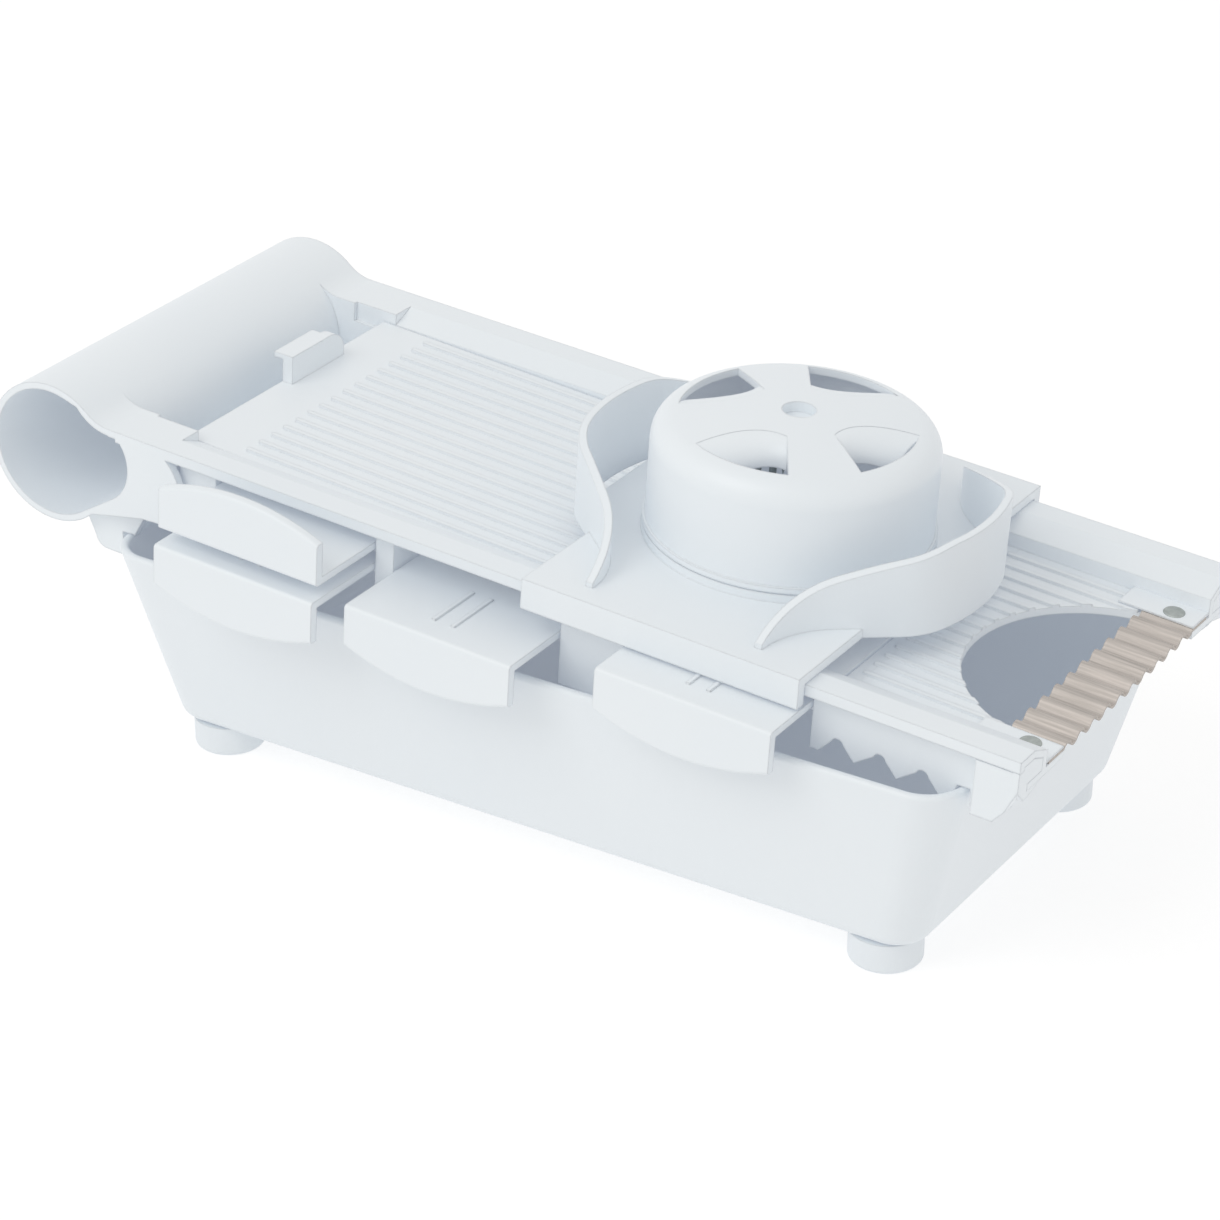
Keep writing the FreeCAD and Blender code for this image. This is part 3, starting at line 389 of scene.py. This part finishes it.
def make_guard():
    """Sled on the rails with two S-curved shield ribbons, side slots, collar and food hole."""
    edge = shield_thickness / 2
    outer = shield_path(edge)
    inner = shield_path(-edge)
    floor_edge = shield_path(edge - seam)
    slot_edge = [point for point in shield_path(-edge - seam) if point[0] > slot_x]
    slot = [(slot_x, slot_edge[0][1])] + slot_edge + [(slot_x, slot_edge[-1][1])]
    joins, cuts = [], []
    for side, turn in (("right", list), ("left", mirrored)):
        joins.append(slab("bulge_" + side, turn(floor_edge), sled_low + seam, sled_top - seam))
        joins.append(ribbon("ribbon_" + side, turn(outer), turn(inner)))
        cuts.append(slab("slot_" + side, turn(slot), -slot_margin, sled_top + slot_margin))
    joins.append(collar())
    guard = combine(sled_body(), joins, "UNION")
    cuts.append(slab("chute", ring(origin, chute_radius, round_steps), chute_low, chute_high))
    guard = combine(guard, cuts, "DIFFERENCE")
    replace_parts(dress(guard, "guard_form", "guard", white), "guard_sled")


# Cap: dome with petal windows and pins, over the plainer solids

cap_bottom = 5.7
cap_height = 33.5
cap_radius = 38.5
cap_wall = 2.2
cap_shoulder = 7.5
cap_steps = 10
dome_drop = 4.3
flange_radius = 39.3
flange_height = 1.6
hole_radius = 4.5
window_axis = math.radians(-47.0)
window_radius = 31.8
window_near = math.radians(17.5)
window_far = math.radians(69.0)
window_hub = (15.0, math.radians(25.0))
window_bow = (17.9, math.radians(60.0))
window_steps = 12
window_low_share = 0.4
window_margin = 5.0
scoop_share = 0.40
scoop_depth = 6.4
scoop_wall = 1.4
scoop_root = 1.0
scoop_drop = 0.12
scoop_overrun = 0.03
scoop_steps = 10
scoop_columns = 16
dimple_radius = 6.0
dimple_depth = 3.0
dimple_wall = 1.2
pin_count = 8
pin_circle = 11.0
pin_radius = 1.0
pin_length = 22.0
pin_tip = 4.0
pin_seat = 3.0
pin_steps = 16
boss_radius = 2.5
boss_height = 4.0
boss_root_share = 0.6
boss_steps = 24


def raised(profile):
    """Profile lifted to the cap's seat."""
    return [(r, z + cap_bottom) for r, z in profile]


def dome_fall(radius):
    """How far the dome lies below its middle at a radius."""
    return dome_drop * (radius / cap_radius) ** 2


def cap_profile(inset, low, start):
    """Half section of the cap's outer face, or its inner face at an inset, from low up to the hub."""
    shoulder = cap_shoulder - inset
    high = cap_height - inset
    lean = math.atan(2 * dome_drop * (cap_radius - cap_shoulder) / cap_radius ** 2)
    edge = cap_radius - cap_shoulder + shoulder * math.sin(lean)
    centre = cap_radius - cap_shoulder, high - dome_fall(edge) - shoulder * math.cos(lean)
    curve = arc(centre, shoulder, 0.0, quarter_turn - lean, cap_steps)
    dome = [start + (edge - start) * k / cap_steps for k in range(cap_steps - 1, -1, -1)]
    return [(cap_radius - inset, low)] + curve + [(r, high - dome_fall(r)) for r in dome]


def polar(axis, side, radius, angle):
    """Plan point at an angle from a spoke's axis, to one side of it."""
    turn = axis + side * angle
    return Vector((radius * math.cos(turn), radius * math.sin(turn)))


def bow_point(axis, side, share):
    """Point on a window's bowed edge, from its tip at 0 to the hub at 1."""
    tip = polar(axis, side, window_radius, window_far)
    hub = polar(axis, side, *window_hub)
    pull = 2 * polar(axis, side, *window_bow) - 0.5 * (tip + hub)
    return tip * (1 - share) ** 2 + pull * 2 * share * (1 - share) + hub * share ** 2


def window(name, axis, side):
    """One petal window beside a spoke: outer arc, straight spoke edge and a bowed far edge."""
    angles = [window_near + (window_far - window_near) * k / window_steps for k in range(window_steps + 1)]
    rim = [polar(axis, side, window_radius, angle) for angle in angles]
    bow = [bow_point(axis, side, k / window_steps) for k in range(1, window_steps + 1)]
    loop = [(point.x, point.y) for point in rim + bow]
    low = cap_bottom + window_low_share * cap_height
    return slab(name, loop, low, cap_bottom + cap_height + window_margin)


def scoop(name, axis, side):
    """Lip that curves down from a window's bowed edge towards the corner of spoke and rim."""
    corner = polar(axis, side, window_radius, window_near)
    turns = [quarter_turn * k / scoop_steps for k in range(scoop_steps + 1)]
    under_depth = scoop_depth - scoop_wall
    sections = []
    for k in range(scoop_columns + 1):
        edge = bow_point(axis, side, (1 + 2 * scoop_overrun) * k / scoop_columns - scoop_overrun)
        reach = scoop_share * (corner - edge).length
        under_reach = reach - scoop_wall
        ahead = (corner - edge).normalized()
        top = cap_bottom + cap_height - dome_fall(edge.length) - scoop_drop
        centre = top - scoop_depth
        above = [(reach * math.sin(a), centre + scoop_depth * math.cos(a)) for a in turns]
        below = [(under_reach * math.sin(a), centre + under_depth * math.cos(a)) for a in reversed(turns)]
        outline = [(-scoop_root, top)] + above + below + [(-scoop_root, top - scoop_wall)]
        spots = [(edge + ahead * along, z) for along, z in outline]
        sections.append([(spot.x, spot.y, z) for spot, z in spots])
    return sweep(name, sections)


def shell():
    """The cap's turned wall, flange and dome, with its centre hole."""
    outer = [(flange_radius, 0.0), (flange_radius, flange_height)]
    outer += cap_profile(0.0, flange_height, hole_radius)
    inner = cap_profile(cap_wall, 0.0, hole_radius)
    return lathe("shell", raised(outer + inner[::-1]))


def dimple():
    """Cup that closes the cap's centre hole from below."""
    floor = cap_height - dimple_depth
    under = floor - dimple_wall
    seat = cap_height - 0.5 * cap_wall
    wall = hole_radius + seam
    cup = [(axis_radius, under), (dimple_radius, under), (dimple_radius, seat), (wall, seat), (wall, floor),
           (axis_radius, floor)]
    return lathe("dimple", raised(cup))


def boss_and_pin(spot):
    """Boss under the cap's dome and the pointed pin that is seated in it."""
    under = cap_height - cap_wall - boss_height
    boss_top = cap_bottom + cap_height - boss_root_share * cap_wall
    boss = slab("boss", ring(spot, boss_radius, boss_steps), cap_bottom + under, boss_top)
    head = under + pin_seat
    point = head - pin_length
    shank = [(axis_radius, point), (pin_radius, point + pin_tip), (pin_radius, head), (axis_radius, head)]
    return boss, lathe("pin", raised(shank), spot, pin_steps)


def make_cap():
    """Domed cap with four petal windows, a scoop under each, a centre dimple, pin bosses and pins."""
    petals = [(window_axis + turn, side) for turn in (0.0, math.pi) for side in (-1, 1)]
    cap = combine(shell(), [window("window", *petal) for petal in petals], "DIFFERENCE")
    joins = [scoop("scoop", *petal) for petal in petals] + [dimple()]
    pins = []
    for k in range(pin_count):
        angle = window_axis + full_turn * k / pin_count
        boss, pin = boss_and_pin((pin_circle * math.cos(angle), pin_circle * math.sin(angle)))
        joins.append(boss)
        pins.append(pin)
    cap = combine(cap, joins, "UNION")
    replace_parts(dress(cap, "cap_form", "pusher", white), "pusher_cap")
    pins = combine(pins[0], pins[1:], "UNION")
    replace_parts(dress(pins, "pin_forms", "pusher", rivet_steel), "grip_pins")


# Rail ends: closed ends with a leg outside the tub, and pads over the ears of the crinkle blade

board_end = 158.2
end_thickness = 2.0
end_top = -2.3
end_top_inner = 54.5
end_top_outer = 59.7
end_step = -3.3
rail_outer = 61.9
end_under = -9.0
skirt_outer = 58.0
skirt_under = -13.0
channel_side = 47.2
channel_top = -5.5
channel_under = -10.3
leg_start = 146.0
leg_top = -3.5
leg_depth = 19.3
leg_taper = 3.0
leg_upright_share = 0.45
leg_bend_share = 0.8
blade_start = 143.25
floor_fall = math.radians(1.1)
ear_top = -7.22
ear_start = 37.4
pad_height = 0.5
pad_before = 7.0


def make_rail_end(name, side):
    """Closed end of a rail with the leg outside the tub."""
    right = board_end - guard_x
    left = leg_start - guard_x
    face = [
        (rail_outer, end_step), (rail_outer, end_under), (skirt_outer, skirt_under),
        (channel_side, channel_under), (channel_side, channel_top),
        (end_top_inner, end_top), (end_top_outer, end_top), (end_top_outer, end_step),
    ]
    end = sweep("end", [[(x, side * y, z) for y, z in face] for x in (right - end_thickness, right)])
    outline = [
        (left, leg_top), (right - seam, leg_top), (right - seam, -leg_upright_share * leg_depth),
        (right - leg_taper, -leg_bend_share * leg_depth), (right - 2 * leg_taper, -leg_depth),
        (left, -leg_depth),
    ]
    leg_sides = (side * (skirt_outer + seam), side * (rail_outer - seam))
    leg = sweep("leg", [[(x, y, z) for x, z in outline] for y in leg_sides])
    dress(combine(end, [leg], "UNION"), name + "_end", "board", white)


def make_rail_pad(name, side):
    """Thin pad over the blade's ear, lying on the falling floor of the channel."""
    start = blade_start - pad_before
    plan = [(start, ear_start), (board_end, ear_start), (board_end, channel_side), (start, channel_side)]
    low = []
    for x, y in plan:
        low.append((x - guard_x, side * y, ear_top - (x - blade_start) * math.tan(floor_fall)))
    high = [(x, y, z + pad_height) for x, y, z in low]
    dress(sweep("pad", [low, high]), name + "_pad", "board", white)


make_guard()
make_cap()
for rail, side in (("front_rail", -1), ("back_rail", 1)):
    make_rail_end(rail, side)
    make_rail_pad(rail, side)


# Studio, in metres

floor_half = 6.0
floor_low = (0.40, 0.40, 0.40)
floor_high = (0.42, 0.42, 0.42)
floor_cloud_scale = 2.0
floor_cloud_detail = 2.0
floor_roughness = 0.9
floor_glow = 0.50
floor_seen = 0.68
backdrop_colour = (1.0, 1.0, 1.0, 1.0)
sky_colour = (1.0, 0.99, 0.98, 1.0)
sky_strength = 0.74
light_target = (0.0, 0.0, 0.05)
key_place = (-0.5, -1.3, 1.5)
key_size = 1.2
key_power = 9.0
key_colour = (1.0, 0.99, 0.97)
fill_place = (1.5, -0.6, 0.9)
fill_size = 1.0
fill_power = 0.3
fill_colour = (0.98, 0.99, 1.0)
camera_place = Vector((0.5267, -0.8437, 0.5701))
camera_target = Vector((-0.0094, 0.0, 0.04723))
camera_far = 50.0
sensor_millimetres = 36.0
lens_millimetres = 120.57


def area_light(name, place, size, power, colour):
    """Soft square light aimed at the object."""
    lamp = bpy.data.lights.new(name, "AREA")
    lamp.shape = "SQUARE"
    lamp.size = size
    lamp.energy = power
    lamp.color = colour
    light = bpy.data.objects.new(name, lamp)
    bpy.context.scene.collection.objects.link(light)
    light.location = place
    light.rotation_euler = (Vector(light_target) - Vector(place)).to_track_quat("-Z", "Y").to_euler()


def showing(tree):
    """One for rays that show the background: to the camera, off gloss or through glass."""
    path = tree.nodes.new("ShaderNodeLightPath")
    total = path.outputs["Is Camera Ray"]
    for kind in ("Is Glossy Ray", "Is Transmission Ray"):
        either = tree.nodes.new("ShaderNodeMath")
        either.operation = "MAXIMUM"
        tree.links.new(total, either.inputs[0])
        tree.links.new(path.outputs[kind], either.inputs[1])
        total = either.outputs["Value"]
    return total


def make_floor():
    """Plain pale floor that shows as white."""
    mesh = bpy.data.meshes.new("floor")
    half = floor_half
    corners = [(-half, -half, 0), (half, -half, 0), (half, half, 0), (-half, half, 0)]
    mesh.from_pydata(corners, [], [(0, 1, 2, 3)])
    floor = bpy.data.objects.new("floor", mesh)
    bpy.context.scene.collection.objects.link(floor)
    material, tree, shader, place = new_material("floor_white")
    cloud = noise(tree, place.outputs["Object"], floor_cloud_scale, floor_cloud_detail)
    tree.links.new(ramp(tree, cloud, floor_low, floor_high), shader.inputs["Base Color"])
    shader.inputs["Roughness"].default_value = floor_roughness
    shader.inputs["Specular IOR Level"].default_value = 0.0
    shader.inputs["Emission Color"].default_value = backdrop_colour
    glow = spread(tree, showing(tree), floor_glow, floor_seen)
    tree.links.new(glow, shader.inputs["Emission Strength"])
    mesh.materials.append(material)


def make_world():
    """White where it shows, pale even light for everything else."""
    world = bpy.data.worlds.new("studio")
    world.use_nodes = True
    tree = world.node_tree
    tree.nodes.clear()
    out = tree.nodes.new("ShaderNodeOutputWorld")
    seen = tree.nodes.new("ShaderNodeBackground")
    seen.inputs["Color"].default_value = backdrop_colour
    light = tree.nodes.new("ShaderNodeBackground")
    light.inputs["Color"].default_value = sky_colour
    light.inputs["Strength"].default_value = sky_strength
    mix = tree.nodes.new("ShaderNodeMixShader")
    tree.links.new(showing(tree), mix.inputs["Fac"])
    tree.links.new(light.outputs["Background"], mix.inputs[1])
    tree.links.new(seen.outputs["Background"], mix.inputs[2])
    tree.links.new(mix.outputs["Shader"], out.inputs["Surface"])
    bpy.context.scene.world = world


def make_camera():
    """Camera fitted to the photograph: seen from the front right, a little from above."""
    data = bpy.data.cameras.new("camera")
    data.sensor_width = sensor_millimetres
    data.lens = lens_millimetres
    data.clip_end = camera_far
    camera = bpy.data.objects.new("camera", data)
    bpy.context.scene.collection.objects.link(camera)
    camera.location = camera_place
    camera.rotation_euler = (camera_target - camera_place).to_track_quat("-Z", "Y").to_euler()
    bpy.context.scene.camera = camera


make_floor()
make_world()
make_camera()
area_light("key", key_place, key_size, key_power, key_colour)
area_light("fill", fill_place, fill_size, fill_power, fill_colour)
bpy.context.scene.view_settings.view_transform = "Standard"
